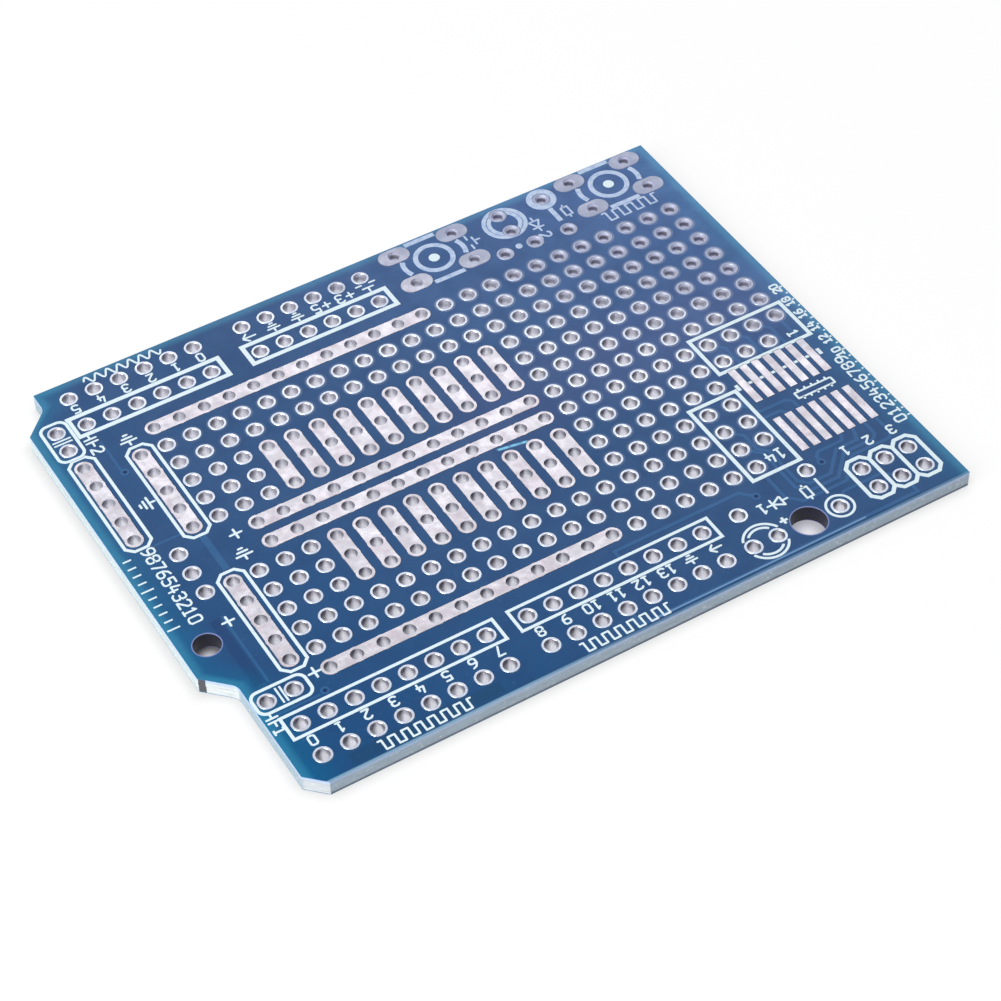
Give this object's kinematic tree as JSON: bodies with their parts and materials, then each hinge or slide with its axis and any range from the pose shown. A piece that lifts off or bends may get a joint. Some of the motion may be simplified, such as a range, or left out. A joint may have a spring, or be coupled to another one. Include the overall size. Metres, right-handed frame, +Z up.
{
  "type": "prototype circuit board",
  "caption": "Bare blue prototype board with plated holes, tinned strips and rails, header rows and a chip breakout area.",
  "frame": {"origin": "centre of the board's outline, on the surface that it lies on", "axes": "+X along the long side, towards the end with square corners; +Y across, from the near digital header rows to the far analog and power rows; +Z up, out of the printed face"},
  "size_m": [0.0688, 0.0532, 0.0018],
  "materials": {
    "glass_laminate": "matte",
    "blue_solder_mask": "satin",
    "tinned_copper": "satin",
    "masked_copper": "satin",
    "white_ink": "matte"
  },
  "bodies": {
    "root": {"laminate": "glass_laminate", "top_solder_mask": "blue_solder_mask", "bottom_solder_mask": "blue_solder_mask", "breakout_tracks": "masked_copper", "signal_tracks": "masked_copper", "vias": "masked_copper", "outer_digital_pads": "tinned_copper", "inner_digital_pads": "tinned_copper", "outer_analog_pads": "tinned_copper", "inner_analog_pads": "tinned_copper", "outer_power_pads": "tinned_copper", "inner_power_pads": "tinned_copper", "far_field_pads": "tinned_copper", "left_field_pads": "tinned_copper", "right_field_pads": "tinned_copper", "near_field_pads": "tinned_copper", "far_dip_strips": "tinned_copper", "near_dip_strips": "tinned_copper", "far_ground_rail": "tinned_copper", "centre_supply_rail": "tinned_copper", "centre_ground_rail": "tinned_copper", "near_supply_rail": "tinned_copper", "edge_strip": "tinned_copper", "ground_strip": "tinned_copper", "supply_strip": "tinned_copper", "loose_pads": "tinned_copper", "capacitor_pads": "tinned_copper", "programming_pads": "tinned_copper", "led_pads": "tinned_copper", "resistor_pads": "tinned_copper", "link_pads": "tinned_copper", "user_switch_pads": "tinned_copper", "reset_switch_pads": "tinned_copper", "chip_far_pads": "tinned_copper", "chip_near_pads": "tinned_copper", "far_breakout_pads": "tinned_copper", "near_breakout_pads": "tinned_copper", "header_legend": "white_ink", "strip_legend": "white_ink", "capacitor_legend": "white_ink", "breakout_legend": "white_ink", "programming_legend": "white_ink", "switch_legend": "white_ink", "led_legend": "white_ink", "resistor_legend": "white_ink", "chip_legend": "white_ink"}
  },
  "joints": []
}
